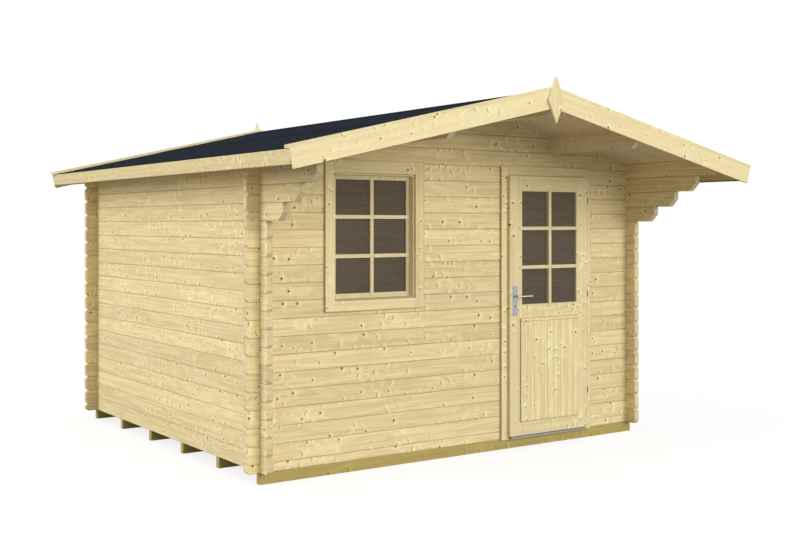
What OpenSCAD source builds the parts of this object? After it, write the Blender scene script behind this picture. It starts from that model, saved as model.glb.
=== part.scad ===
// Log-built garden shed with a porch roof, a half-glazed door and a small window.
// Millimetres. +Z is up, the door side faces -Y, and the origin is the middle of
// the footprint of the roof at the underside of the floor bearers.

/* [Log walls] */
// Width over the side walls' outer faces
wall_w = 3310; // [2600:10:4400]
// Depth over the front and back walls' outer faces
wall_d = 3000; // [2200:10:4400]
// Thickness of a log
log_t = 44; // [34:1:60]
// Height that one log adds to a wall
log_h = 114; // [112:1:118]
// Number of logs in a side wall above those beside the door and the window
logs_over_openings = 1; // [1:1:3]
// How far the crossed log ends stand out at a corner
log_end = 95; // [60:5:140]
// Bevel along the long edges of a log
log_bevel = 5; // [3:1:8]
// Bevel across the end of a log
end_bevel = 19; // [8:1:24]
// Number of logs that step out under the porch roof below the top log
corbel_logs = 3; // [2:1:4]

/* [Roof] */
// Pitch of the roof in degrees
roof_pitch = 13; // [10:0.5:18]
// Reach of the roof boards in front of the front wall
front_overhang = 910; // [600:10:1100]
// Reach of the roof boards behind the back wall
back_overhang = 200; // [120:10:300]
// Reach of the eave boards beside the side walls
side_overhang = 290; // [180:10:360]
// Thickness of the roof boards
roof_board_t = 19; // [16:1:25]
// Thickness of the roofing felt
roofing_t = 4; // [3:1:8]
// Thickness of a purlin
purlin_t = 44; // [34:1:60]
// Height of a purlin at its taller side
purlin_h = 142; // [110:1:160]
// Distance of the middle purlins from the ridge
purlin_x = 801; // [600:5:900]
// Height of a barge board, square to the slope
barge_h = 117; // [100:1:150]
// Thickness of a barge board
barge_t = 18; // [15:1:28]
// How far a barge board's lower corner stays inside the eave board's face
barge_in = 15; // [0:1:18]
// How far the ends of the cover strips stay inside it
cover_in = 8; // [0:1:18]
// Width of the strip that covers the edge of the felt
cover_w = 45; // [30:1:60]
// Thickness of that strip
cover_t = 20; // [12:1:28]
// Height of an eave board at its outer face
fascia_h = 95; // [70:5:130]
// Thickness of an eave board
fascia_t = 18; // [15:1:28]
// Width of the pointed board at the gable's peak
finial_w = 135; // [100:5:180]
// Height of its point above the cover strips
finial_up = 62; // [40:1:100]
// Reach of its lower point below the top of the cover strips
finial_down = 243; // [190:1:300]
// Depth of its widest place below the top of the cover strips
finial_shoulder = 90; // [60:1:120]
// Thickness of that board
finial_t = 18; // [12:1:28]

/* [Floor] */
// Number of floor bearers
bearers = 6; // [4:1:8]
// Width of a floor bearer
bearer_w = 45; // [40:1:80]
// Height of a floor bearer
bearer_h = 74; // [45:1:120]
// Thickness of the floor boards
floor_t = 18; // [16:1:28]

/* [Frames and casings] */
// Width of the casing boards beside an opening
casing_w = 72; // [60:1:90]
// Thickness of the casing boards
casing_t = 18; // [12:1:24]
// How far a casing laps the log over its opening
casing_lap = 10; // [5:1:20]
// Depth of the door and window frames from the wall's outer face
frame_d = 70; // [66:1:100]

/* [Door] */
// Middle of the door from the middle of the front
door_x = 757; // [650:1:760]
// Width of the door leaf over its lips
leaf_w = 774; // [700:1:800]
// Height of the door leaf
leaf_h = 1914; // [1800:1:2100]
// Thickness of the door leaf
leaf_t = 44; // [40:1:50]
// Height of the leaf's foot above the wall's foot
leaf_z = 19; // [17:1:22]
// Width of the lip that laps the casing
lip_w = 18; // [14:1:22]
// Thickness of that lip
lip_t = 22; // [18:1:26]
// Running gap between the leaf and what surrounds it
door_gap = 6; // [5:0.5:8]
// Thickness of a door jamb
jamb_t = 36; // [28:1:44]
// Depth of the stop that the leaf closes on
stop_t = 12; // [10:1:18]
// Width of the leaf's stiles and top rail
stile_w = 114; // [105:1:120]
// Height of the bottom rail
bottom_rail_h = 113; // [95:1:140]
// Height of the rail between the boarding and the panes
lock_rail_h = 124; // [110:1:150]
// Height of the door's glass
door_glass_h = 836; // [740:1:880]
// Thickness of the door's boarding where it fills the leaf
boarding_t = 18; // [14:1:24]
// How far the boarding stands out of the leaf
boarding_proud = 12; // [8:1:16]
// How far the boarding laps the stiles
boarding_lap = 19; // [10:1:26]
// How far the boarding laps the bottom rail
boarding_drop = 10; // [4:1:30]
// Depth of the vee between two boards
board_vee = 4; // [2:0.5:6]
// Number of boards in the boarding
door_boards = 9; // [6:1:12]
// Height of the strip that caps the boarding
cap_strip_h = 20; // [14:1:28]
// How far that strip stands out of the boarding
cap_strip_proud = 3; // [1:0.5:6]

/* [Window] */
// Middle of the window from the middle of the front
window_x = -786; // [-850:1:-700]
// Width of the window's glass
window_glass_w = 572; // [480:1:600]
// Height of the window's glass
window_glass_h = 765; // [640:1:860]
// Room left over the window's frame for the logs to settle
window_settle = 48; // [20:1:60]
// Width of the sash's stiles and rails
sash_w = 31; // [26:1:40]
// Thickness of the sash
sash_t = 26; // [22:1:30]
// Depth of the sash behind the wall's outer face
sash_y = 38; // [24:1:38]
// Width of the window frame's members
window_frame_w = 40; // [34:1:50]

/* [Glazing] */
// Thickness of a pane
glass_t = 4; // [3:1:6]
// Width of a glazing bar
bar_w = 25; // [20:1:34]
// Depth of the front part of a glazing bar, which laps the wood
bar_proud = 5; // [3:1:8]
// How far a glazing bar laps the stiles
bar_lap = 24; // [10:1:26]
// Rows of panes, two to a row
pane_rows = 3; // [2:1:4]

/* [Door furniture] */
// Radius of a hinge barrel
barrel_r = 7.5; // [6:0.5:9]
// Height of a hinge barrel
barrel_h = 45; // [36:1:60]
// Radius of a hinge pin
hinge_pin_r = 3; // [2.5:0.25:3.5]
// Height of the lowest hinge above the leaf's foot
hinge_low = 282; // [200:1:320]
// Depth of the highest hinge below the leaf's top
hinge_high = 175; // [140:1:240]
// How far the middle hinge stands above the middle of the other two
hinge_mid_up = 10; // [0:1:40]
// Width of the handle plate
plate_w = 45; // [34:1:50]
// Height of the handle plate
plate_h = 221; // [200:1:260]
// Thickness of the handle plate
plate_t = 3; // [2:0.5:5]
// Distance of the spindle from the leaf's edge
backset = 47; // [44:1:58]
// Distance of the handle plate above the strip that caps the boarding
plate_lift = 23; // [8:1:40]
// Distance of the plate's top above the spindle
plate_top = 76; // [60:1:100]
// Radius of the handle's spindle
spindle_r = 4; // [3.5:0.25:5]
// Radius of the keyhole's round part
keyhole_r = 5; // [4:0.5:6]
// Width of the keyhole's slot
keyhole_slot_w = 5; // [3:0.5:6]
// Depth of that slot below the middle of the round part
keyhole_slot_h = 13; // [9:1:16]
// Distance of the keyhole below the spindle
key_drop = 72; // [60:1:92]
// Radius of the handle's grip
grip_r = 5; // [4.5:0.5:9]
// Radius of the grip's neck
neck_r = 8; // [7:0.5:10]
// Length of the handle's grip
grip_l = 134; // [100:1:150]
// Distance of the grip's middle from the leaf's face
grip_reach = 42; // [36:1:56]

/* [Hidden] */

clear_fit = 0.3;          // gap left between pieces that turn on each other's faces
slip_fit = 0.05;          // gap round a hinge pin
spindle_gap = 0.5;        // gap round the handle's spindle
hinge_gap = 1.5;          // gap between a hinge barrel and the leaf's edge
hinge_set = 11;           // distance of the hinge pins behind the leaf's face
hinge_stem_wall = 2;      // how much thinner a hinge's stem is than its barrel's radius
pin_wall = 3;             // bronze over the hinge pin's tip
pin_room = 2;             // room over the tip in its bore
layer_gap = 0.02;         // gap between the layers of the roof
sill_gap = 5;             // gap under the leaf
plate_r = 10;             // radius of the handle plates' corners
spindle_end = 1;          // how far the spindle reaches into each grip

leaf_y1 = -1;                                  // back of the leaf
leaf_y0 = leaf_y1 - leaf_t;                    // front of the leaf
lip_y1 = leaf_y0 + lip_t;
stop_y = leaf_y1 + door_gap;                   // front of the stop behind the leaf
head_z = leaf_z + leaf_h - lip_w + door_gap;   // underside of the door frame's head

// Joint between logs that both openings run up to: the first one over the door's frame
head_course = ceil((head_z + jamb_t) / log_h - 0.5);
end_head_z = (head_course + 0.5) * log_h;
courses = head_course + logs_over_openings;    // logs in a side wall
side_z = courses * log_h;                      // top of the side walls

slope = tan(roof_pitch);
half_w = wall_w / 2;
ridge_z = side_z + (half_w - log_t) * slope;   // underside of the roof at the ridge
function roof_under(x) = ridge_z - abs(x) * slope;

roof_n = roof_board_t + roofing_t;             // roof's thickness, square to the slope
eave_x = half_w + side_overhang;               // outer face of the eave boards
barge_low = roof_n - barge_h;                  // barge's lower edge, square to the slope
cover_z = ridge_z + (roof_n + cover_t) / cos(roof_pitch);
roof_y0 = -front_overhang;
roof_y1 = wall_d + back_overhang;
gable_trim = barge_t + finial_t;
front_y = front_overhang + gable_trim - (roof_y1 - roof_y0 + 2 * gable_trim) / 2;

side_joints = [for (k = [0 : courses]) k * log_h];
end_top_course = ceil(ridge_z / log_h);
end_joints = concat([0], [for (k = [0 : end_top_course]) (k + 0.5) * log_h]);
plain_courses = courses - corbel_logs - 1;
corbel_step = (front_overhang - log_end) / (corbel_logs + 1);

end_x = half_w + log_end;                      // tips of the end walls' logs
below_head = [for (z = end_joints) if (z <= end_head_z) z];
above_head = [for (z = end_joints) if (z >= end_head_z) z];
lower_joints = [for (k = [0 : plain_courses]) side_joints[k]];
upper_joints = [for (k = [plain_courses : courses - 1]) side_joints[k]];

jamb_x = leaf_w / 2 - lip_w + door_gap;        // half the doorway between its jambs
door_hole_x = jamb_x + jamb_t;                 // half the hole in the wall
casing_foot = -5;                              // foot of the outer casing
nose_foot = 1;                                 // foot of the sill's nose
threshold_top = leaf_z - sill_gap;
door_glass_y = leaf_y0 + leaf_t / 2;
door_glass_w = leaf_w - 2 * stile_w;
door_glass_z = leaf_z + leaf_h - stile_w - door_glass_h;
boarding_top = door_glass_z - lock_rail_h;
boarding_z = leaf_z + bottom_rail_h;

window_glass_y = sash_y + sash_t / 2;
window_glass_z = end_head_z - window_settle - window_frame_w - sash_w - window_glass_h;
sash_z = window_glass_z - sash_w;
sash_full_w = window_glass_w + 2 * sash_w;
sash_full_h = window_glass_h + 2 * sash_w;
window_full_w = sash_full_w + 2 * window_frame_w;
window_full_h = sash_full_h + 2 * window_frame_w;
window_z = sash_z - window_frame_w;
casing_step = 10;                              // how far a frame shows inside its casing

hinge_x = leaf_w / 2 + barrel_r + hinge_gap;
hinge_y = leaf_y0 + hinge_set;
hinge_heights = [
    leaf_z + hinge_low,
    leaf_z + (hinge_low + leaf_h - hinge_high) / 2 + hinge_mid_up,
    leaf_z + leaf_h - hinge_high
];
spindle_x = door_x - leaf_w / 2 + backset;
spindle_z = boarding_top + cap_strip_h + plate_lift + plate_h - plate_top;

pine = "#ecd8a4";
pine_trim = "#f2dfad";
impregnated = "#ab9a58";
felt = "#262e3c";
pane_tint = [0.42, 0.40, 0.38, 0.5];
steel = "#aaaeb4";
bronze = "#4a3c30";

// ---- helpers -------------------------------------------------------------

// Carries a piece from the walls' own frame to the part's frame
module placed() translate([0, front_y, bearer_h]) children();

// A shape drawn in Y and Z, drawn out along X
module along_x(length) rotate([90, 0, 90]) linear_extrude(length) children();

// A shape drawn in X and Z, drawn out along Y
module along_y(length) translate([0, length, 0]) rotate([90, 0, 0]) linear_extrude(length) children();

function reversed(list) = [for (i = [len(list) - 1 : -1 : 0]) list[i]];

// One side of a stack of logs, from its foot up, with every log's two edges bevelled
function log_edge(at, out, joints, bevel) = concat(
    [for (i = [0 : len(joints) - 2]) each [
        [at - out * bevel, joints[i]],
        [at, joints[i] + bevel],
        [at, joints[i + 1] - bevel]
    ]],
    [[at - out * bevel, joints[len(joints) - 1]]]
);

// A stack of logs seen square on, between two edges
module log_stack(from, to, joints, bevel) polygon(concat(
    log_edge(to, 1, joints, bevel),
    reversed(log_edge(from, -1, joints, bevel))
));

// Holes in a stack of logs where a crossing wall's logs pass through at a corner
module corner_notches(from, to, shift) {
    notch_h = log_h / 2;
    for (at = [from, to - log_t], k = [0 : end_top_course])
        translate([at, (k + shift) * log_h - notch_h / 2]) square([log_t, notch_h]);
}

// All that lies below the roof boards between two places along the ridge
module under_roof(y0, y1) translate([0, y0, 0]) along_y(y1 - y0) polygon([
    [-eave_x, 0], [eave_x, 0], [eave_x, roof_under(eave_x)],
    [0, ridge_z], [-eave_x, roof_under(eave_x)]
]);

// A board frame seen square on, with an opening in it
module ring(size, opening, shift = [0, 0]) difference() {
    square(size, center = true);
    translate(shift) square(opening, center = true);
}

module rounded_plate(w, h, r) {
    square([w - 2 * r, h], center = true);
    square([w, h - 2 * r], center = true);
    for (x = [-1, 1], y = [-1, 1])
        translate([x * (w / 2 - r), y * (h / 2 - r)]) circle(r = r, $fn = 32);
}

// ---- floor ---------------------------------------------------------------

module floor_bearers() color(impregnated) placed()
    for (i = [0 : bearers - 1])
        translate([-half_w, i * (wall_d - bearer_w) / (bearers - 1), -bearer_h])
            cube([wall_w, bearer_w, bearer_h]);

module floor_boards() color(pine) placed()
    translate([log_t - half_w, log_t, 0]) cube([wall_w - 2 * log_t, wall_d - 2 * log_t, floor_t]);

// ---- log walls -----------------------------------------------------------

// The logs of a side wall below the ones that step out
module side_logs() intersection() {
    along_x(log_t) difference() {
        log_stack(-log_end, wall_d + log_end, lower_joints, end_bevel);
        corner_notches(0, wall_d, 0);
    }
    translate([0, -log_end, 0]) along_y(wall_d + 2 * log_end)
        log_stack(0, log_t, lower_joints, log_bevel);
}

// Front end of the stepped logs: each has its lower half splayed
function corbel_points(k) = let (
    y = -log_end - (k - plain_courses + 1) * corbel_step,
    z = k * log_h
) [[y + log_h / 2, z], [y, z + log_h / 2], [y, z + log_h]];

module side_top_elevation() polygon(concat(
    reversed([for (k = [plain_courses : courses - 1]) each corbel_points(k)]),
    log_edge(wall_d + log_end, 1, upper_joints, end_bevel),
    [
        [roof_y1 - log_h / 2, side_z - log_h],
        [roof_y1, side_z - log_h / 2],
        [roof_y1, side_z]
    ]
));

module side_top_logs() intersection() {
    along_x(log_t) difference() {
        side_top_elevation();
        corner_notches(0, wall_d, 0);
    }
    translate([0, roof_y0, 0]) along_y(roof_y1 - roof_y0)
        log_stack(0, log_t, [for (k = [plain_courses : courses + 1]) k * log_h], log_bevel);
    translate([half_w, 0, 0]) under_roof(roof_y0, roof_y1);
}

module left_wall() color(pine) placed() translate([-half_w, 0, 0]) side_logs();
module right_wall() color(pine) placed() mirror([1, 0, 0]) translate([-half_w, 0, 0]) side_logs();
module left_eave_logs() color(pine) placed() translate([-half_w, 0, 0]) side_top_logs();
module right_eave_logs() color(pine) placed()
    mirror([1, 0, 0]) translate([-half_w, 0, 0]) side_top_logs();

// An end wall's logs between two heights and two places, up to the roof
module end_logs(x0, x1, joints) intersection() {
    along_y(log_t) difference() {
        log_stack(x0, x1, joints, end_bevel);
        corner_notches(-half_w, half_w, 0.5);
        children();
    }
    translate([-eave_x, 0, 0]) along_x(2 * eave_x) log_stack(0, log_t, joints, log_bevel);
    under_roof(0, log_t);
}

// Seats of the three purlins, open to the roof
module purlin_seats() {
    seat_h = ridge_z;
    for (x = [-purlin_x, 0, purlin_x])
        translate([x - purlin_t / 2, purlin_foot(x)]) square([purlin_t, seat_h]);
}
function purlin_foot(x) = roof_under(max(abs(x) - purlin_t / 2, 0)) - purlin_h;

module back_wall() color(pine) placed() translate([0, wall_d - log_t, 0])
    end_logs(-end_x, end_x, end_joints) purlin_seats();

// Cut edges beside the doorway are plain, so these logs run on and are trimmed there
module front_wall_left() color(pine) placed() intersection() {
    end_logs(-end_x, door_x - door_hole_x + end_bevel, below_head) {
        window_hole();
        purlin_seats();
    }
    translate([-end_x, 0, 0]) cube([end_x + door_x - door_hole_x, log_t, end_head_z]);
}
module window_hole() translate([window_x - window_full_w / 2, window_z])
    square([window_full_w, end_head_z]);

module front_wall_right() color(pine) placed() intersection() {
    end_logs(door_x + door_hole_x - end_bevel, end_x, below_head) purlin_seats();
    translate([door_x + door_hole_x, 0, 0]) cube([end_x, log_t, end_head_z]);
}

module front_gable() color(pine) placed() end_logs(-end_x, end_x, above_head) purlin_seats();

// ---- roof ----------------------------------------------------------------

// A purlin's side with both lower corners splayed
module purlin_side() {
    splay = log_h / 2;
    foot = ridge_z - purlin_h;
    polygon([
        [roof_y0 + splay, 0], [roof_y0, splay], [roof_y0, ridge_z],
        [roof_y1, ridge_z], [roof_y1, splay], [roof_y1 - splay, 0]
    ]);
}

module purlin(x) color(pine) placed() intersection() {
    translate([x - purlin_t / 2, 0, purlin_foot(x)]) along_x(purlin_t) purlin_side();
    under_roof(roof_y0, roof_y1);
}
module ridge_purlin() purlin(0);
module left_purlin() purlin(-purlin_x);
module right_purlin() purlin(purlin_x);

// A layer of the left slope, cut plumb at the ridge and at its foot
module slope_layer(n0, n1, foot_x) {
    up0 = n0 / cos(roof_pitch);
    up1 = n1 / cos(roof_pitch);
    polygon([
        [0, ridge_z + up0], [0, ridge_z + up1],
        [-foot_x, roof_under(foot_x) + up1], [-foot_x, roof_under(foot_x) + up0]
    ]);
}

// The same, but cut square to the slope at its foot, as a barge board is
function square_foot(n, inset) = let (
    run = eave_x - inset - barge_low * sin(roof_pitch)
) [-run - n * sin(roof_pitch), roof_under(run) + n * cos(roof_pitch)];
module barge_layer(n0, n1, inset) polygon([
    [0, ridge_z + n0 / cos(roof_pitch)], [0, ridge_z + n1 / cos(roof_pitch)],
    square_foot(n1, inset), square_foot(n0, inset)
]);

module roof_boards() color(pine) placed() translate([0, roof_y0, 0])
    along_y(roof_y1 - roof_y0) slope_layer(layer_gap, roof_board_t, eave_x - fascia_t);
module left_roof_boards() roof_boards();
module right_roof_boards() mirror([1, 0, 0]) roof_boards();

module roofing() color(felt) placed() translate([0, roof_y0, 0])
    along_y(roof_y1 - roof_y0) slope_layer(roof_board_t + layer_gap, roof_n, eave_x);
module left_roofing() roofing();
module right_roofing() mirror([1, 0, 0]) roofing();

module eave_board() color(pine_trim) placed() translate([0, roof_y0, 0])
    along_y(roof_y1 - roof_y0) eave_section();
module eave_section() {
    lift = roof_board_t / cos(roof_pitch);
    outer_top = roof_under(eave_x) + lift;
    inner_x = eave_x - fascia_t;
    polygon([
        [-eave_x, outer_top - fascia_h], [-inner_x, outer_top - fascia_h],
        [-inner_x, roof_under(inner_x) + lift], [-eave_x, outer_top]
    ]);
}
module left_eave_board() eave_board();
module right_eave_board() mirror([1, 0, 0]) eave_board();

module barge() color(pine_trim) along_y(barge_t) barge_layer(barge_low, roof_n, barge_in);
module cover() color(pine_trim) along_y(cover_w)
    barge_layer(roof_n + layer_gap, roof_n + cover_t, cover_in);

module at_front() placed() translate([0, roof_y0 - barge_t, 0]) children();
module at_back(depth) placed() translate([0, roof_y1 + barge_t - depth, 0]) children();

module front_left_barge() at_front() barge();
module front_right_barge() mirror([1, 0, 0]) at_front() barge();
module back_left_barge() at_back(barge_t) barge();
module back_right_barge() mirror([1, 0, 0]) at_back(barge_t) barge();
module front_left_cover() at_front() cover();
module front_right_cover() mirror([1, 0, 0]) at_front() cover();
module back_left_cover() at_back(cover_w) cover();
module back_right_cover() mirror([1, 0, 0]) at_back(cover_w) cover();

module finial() color(pine_trim) along_y(finial_t) translate([0, cover_z]) polygon([
    [0, finial_up], [-finial_w / 2, -finial_shoulder], [0, -finial_down],
    [finial_w / 2, -finial_shoulder]
]);
module front_finial() placed() translate([0, roof_y0 - barge_t - finial_t, 0]) finial();
module back_finial() placed() translate([0, roof_y1 + barge_t, 0]) finial();

// ---- window --------------------------------------------------------------

// A shape in X and Z about the middle of the glass, drawn out from y0 to y1
module at_window(y0, y1) placed()
    translate([window_x, y0, window_glass_z + window_glass_h / 2]) along_y(y1 - y0) children();

module window_frame() color(pine_trim) {
    at_window(0, sash_y + sash_t)
        ring([window_full_w, window_full_h], [sash_full_w, sash_full_h]);
    at_window(sash_y + sash_t, frame_d)
        ring([window_full_w, window_full_h], [sash_full_w - sash_w, sash_full_h - sash_w]);
}

// Casing boards run from the foot of the casing to the lap over the opening
module window_casing() color(pine_trim) {
    inner = [sash_full_w + 2 * casing_step, sash_full_h + 2 * casing_step];
    top = end_head_z + casing_lap;
    foot = sash_z - casing_step - casing_w;
    middle = (top + foot) / 2 - window_glass_z - window_glass_h / 2;
    at_window(-casing_t, 0) translate([0, middle])
        ring([inner[0] + 2 * casing_w, top - foot], inner, [0, -middle]);
    at_window(log_t, log_t + casing_t)
        ring([window_full_w + 2 * casing_w, window_full_h + 2 * casing_w],
             [window_full_w, window_full_h]);
}

module window_sash() color(pine_trim) at_window(sash_y, sash_y + sash_t)
    ring([sash_full_w, sash_full_h], [window_glass_w, window_glass_h]);

module window_glass() color(pane_tint) at_window(window_glass_y, window_glass_y + glass_t)
    square([window_glass_w, window_glass_h], center = true);

// Glazing bars: an upright, and a bar between each two rows of panes
module window_bars() color(pine_trim) {
    at_window(sash_y, window_glass_y) bars(window_glass_w, window_glass_h, 0);
    at_window(sash_y - bar_proud, sash_y) bars(window_glass_w, window_glass_h, bar_lap);
}
module bars(w, h, lap) {
    pitch = (h + bar_w) / pane_rows;
    square([bar_w, h + 2 * lap], center = true);
    for (i = [1 : pane_rows - 1])
        translate([0, i * pitch - (h + bar_w) / 2]) square([w + 2 * lap, bar_w], center = true);
}

// ---- doorway -------------------------------------------------------------

// A shape in X and Z about the door's middle and the walls' foot
module at_door(y0, y1) placed() translate([door_x, y0, 0]) along_y(y1 - y0) children();

// Two legs and a head round an opening, as a shape in X and Z
module portal(half_in, half_out, foot, top_in, top_out) difference() {
    translate([-half_out, foot]) square([2 * half_out, top_out - foot]);
    translate([-half_in, foot - 1]) square([2 * half_in, top_in - foot + 1]);
}

module door_frame() color(pine_trim) {
    top = head_z + jamb_t;
    at_door(0, stop_y) portal(jamb_x, door_hole_x, 0, head_z, top);
    at_door(stop_y, log_t) portal(jamb_x - stop_t, door_hole_x, 0, head_z - stop_t, top);
    at_door(log_t, frame_d) portal(jamb_x - stop_t, door_hole_x, floor_t, head_z - stop_t, top);
}

module door_casing() color(pine_trim) {
    inner_top = head_z + jamb_t;
    at_door(-casing_t, 0)
        portal(jamb_x, jamb_x + casing_w, casing_foot, head_z, end_head_z + casing_lap);
    at_door(log_t, log_t + casing_t)
        portal(door_hole_x, door_hole_x + casing_w, floor_t, inner_top, inner_top + casing_w);
}

// Metal sill with a nose under the leaf
module door_threshold() color(steel) {
    at_door(leaf_y0, 0) translate([-jamb_x, nose_foot])
        square([2 * jamb_x, threshold_top - nose_foot]);
    at_door(0, log_t) translate([stop_t - jamb_x, 0])
        square([2 * (jamb_x - stop_t), threshold_top]);
}

// ---- door ----------------------------------------------------------------

module leaf_windows() {
    translate([-door_glass_w / 2, door_glass_z]) square([door_glass_w, door_glass_h]);
    translate([-door_glass_w / 2, boarding_z])
        square([door_glass_w, boarding_top - boarding_z]);
}

module door_leaf() color(pine_trim) difference() {
    union() {
        at_door(leaf_y0, lip_y1) difference() {
            translate([-leaf_w / 2, leaf_z]) square([leaf_w, leaf_h]);
            leaf_windows();
        }
        at_door(lip_y1, leaf_y1) difference() {
            translate([lip_w - leaf_w / 2, leaf_z]) square([leaf_w - 2 * lip_w, leaf_h - lip_w]);
            leaf_windows();
        }
    }
    spindle_bore(leaf_y0, leaf_y1);
}
module spindle_bore(y0, y1) placed() translate([spindle_x, y1 + 1, spindle_z])
    rotate([90, 0, 0]) cylinder(r = spindle_r + spindle_gap, h = y1 - y0 + 2, $fn = 48);

// Upright boards with a vee between each two, seen from above and drawn out upwards
module boarding_section(width, depth) {
    pitch = width / door_boards;
    difference() {
        translate([-width / 2, 0]) square([width, depth]);
        for (i = [1 : door_boards - 1])
            translate([i * pitch - width / 2, 0])
                polygon([[-board_vee, 0], [board_vee, 0], [0, board_vee]]);
    }
}

module door_boarding() color(pine) placed() translate([door_x, leaf_y0, 0]) {
    full_w = door_glass_w + 2 * boarding_lap;
    foot = boarding_z - boarding_drop;
    translate([0, -boarding_proud, foot]) linear_extrude(boarding_top - foot)
        boarding_section(full_w, boarding_proud);
    translate([-door_glass_w / 2, 0, boarding_z])
        cube([door_glass_w, boarding_t, boarding_top - boarding_z]);
    cap_d = boarding_proud + cap_strip_proud;
    translate([-full_w / 2, -cap_d, boarding_top]) cube([full_w, cap_d, cap_strip_h]);
}

module door_glass() color(pane_tint) at_door(door_glass_y, door_glass_y + glass_t)
    translate([0, door_glass_z + door_glass_h / 2])
        square([door_glass_w, door_glass_h], center = true);

module door_bars() color(pine_trim) {
    middle = door_glass_z + door_glass_h / 2;
    at_door(leaf_y0, door_glass_y) translate([0, middle]) bars(door_glass_w, door_glass_h, 0);
    at_door(leaf_y0 - bar_proud, leaf_y0) translate([0, middle])
        bars(door_glass_w, door_glass_h, bar_lap);
}

// ---- door furniture ------------------------------------------------------

module at_hinges() placed()
    for (z = hinge_heights) translate([door_x + hinge_x, hinge_y, z]) children();

// Lower half of each hinge: a barrel on a stem from the casing, with the pin
module frame_hinges() color(bronze) at_hinges() {
    stem_r = barrel_r - hinge_stem_wall;
    translate([0, 0, -barrel_h / 2]) cylinder(r = barrel_r, h = barrel_h / 2 - clear_fit, $fn = 48);
    translate([0, 0, -barrel_h / 4]) rotate([-90, 0, 0])
        cylinder(r = stem_r, h = -casing_t - hinge_y, $fn = 48);
    translate([0, 0, -barrel_h / 2]) cylinder(
        r = hinge_pin_r, h = barrel_h - pin_wall - pin_room, $fn = 48
    );
}

// Upper half: a barrel on a stem from the leaf's edge, bored for the pin
module door_hinges() color(bronze) at_hinges() difference() {
    union() {
        cylinder(r = barrel_r, h = barrel_h / 2, $fn = 48);
        translate([0, 0, barrel_h / 4]) rotate([0, -90, 0])
            cylinder(r = barrel_r - hinge_stem_wall, h = hinge_x - leaf_w / 2, $fn = 48);
    }
    translate([0, 0, -1]) cylinder(r = hinge_pin_r + slip_fit, h = barrel_h / 2 - pin_wall + 1, $fn = 48);
}

module plate_outline() difference() {
    translate([0, plate_top - plate_h / 2]) rounded_plate(plate_w, plate_h, plate_r);
    circle(r = spindle_r + spindle_gap, $fn = 48);
    translate([0, -key_drop]) circle(r = keyhole_r, $fn = 32);
    translate([-keyhole_slot_w / 2, -key_drop - keyhole_slot_h])
        square([keyhole_slot_w, keyhole_slot_h]);
}
module handle_plates() color(steel) placed() {
    translate([spindle_x, leaf_y0 - plate_t, spindle_z]) along_y(plate_t) plate_outline();
    translate([spindle_x, leaf_y1, spindle_z]) along_y(plate_t) plate_outline();
}

// Outer and inner grips on one spindle
module handle_lever() color(steel) placed() translate([spindle_x, 0, spindle_z]) {
    translate([0, leaf_y0 - plate_t - spindle_end, 0]) rotate([-90, 0, 0])
        cylinder(r = spindle_r, h = leaf_t + 2 * (plate_t + spindle_end), $fn = 48);
    grip(leaf_y0 - plate_t - clear_fit, -1);
    grip(leaf_y1 + plate_t + clear_fit, 1);
}
module grip(from, out) {
    neck = grip_reach - plate_t - clear_fit;
    translate([0, from, 0]) rotate([-90 * out, 0, 0]) cylinder(r = neck_r, h = neck, $fn = 48);
    translate([0, from + out * neck, 0]) {
        sphere(r = neck_r, $fn = 48);
        rotate([0, 90, 0]) cylinder(r = grip_r, h = grip_l, $fn = 48);
        translate([grip_l, 0, 0]) sphere(r = grip_r, $fn = 48);
    }
}

floor_bearers();
floor_boards();
left_wall();
left_eave_logs();
right_wall();
right_eave_logs();
back_wall();
front_wall_left();
front_wall_right();
front_gable();
ridge_purlin();
left_purlin();
right_purlin();
left_roof_boards();
right_roof_boards();
left_roofing();
right_roofing();
left_eave_board();
right_eave_board();
front_left_barge();
front_right_barge();
back_left_barge();
back_right_barge();
front_left_cover();
front_right_cover();
back_left_cover();
back_right_cover();
front_finial();
back_finial();
window_frame();
window_casing();
window_sash();
window_glass();
window_bars();
door_frame();
door_casing();
door_threshold();
frame_hinges();
door_leaf();
door_boarding();
door_glass();
door_bars();
door_hinges();
handle_plates();
handle_lever();
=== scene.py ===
import math

import bpy
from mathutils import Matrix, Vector


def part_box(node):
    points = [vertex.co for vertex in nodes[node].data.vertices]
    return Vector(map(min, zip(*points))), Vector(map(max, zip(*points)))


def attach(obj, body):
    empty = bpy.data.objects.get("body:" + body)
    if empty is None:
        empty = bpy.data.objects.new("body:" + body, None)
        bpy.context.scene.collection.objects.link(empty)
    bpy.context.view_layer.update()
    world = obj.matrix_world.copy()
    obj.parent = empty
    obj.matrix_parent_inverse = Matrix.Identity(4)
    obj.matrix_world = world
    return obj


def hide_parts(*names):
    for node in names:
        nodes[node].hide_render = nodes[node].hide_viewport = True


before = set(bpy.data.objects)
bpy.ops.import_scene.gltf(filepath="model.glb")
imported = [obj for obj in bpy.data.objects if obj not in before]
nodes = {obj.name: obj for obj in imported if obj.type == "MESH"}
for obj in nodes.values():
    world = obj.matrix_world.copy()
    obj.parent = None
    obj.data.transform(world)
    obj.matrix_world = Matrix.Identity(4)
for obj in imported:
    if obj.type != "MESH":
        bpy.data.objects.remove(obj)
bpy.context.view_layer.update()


def put_in_scene(thing):
    bpy.context.scene.collection.objects.link(thing)


# ---- camera --------------------------------------------------------------

def place_camera():
    lens = bpy.data.cameras.new("view")
    lens.lens = 50.65
    lens.sensor_width = 36.0
    lens.shift_y = -0.0537
    camera = bpy.data.objects.new("view", lens)
    camera.location = (-4.9733, -7.5015, 1.6542)
    camera.rotation_euler = (math.radians(90), 0.0, math.radians(-34.66))
    put_in_scene(camera)
    bpy.context.scene.camera = camera


place_camera()


# ---- sizes of the shed, taken from its solids ----------------------------
# Every length is in metres.

def low(node):
    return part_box(node)[0]


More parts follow.
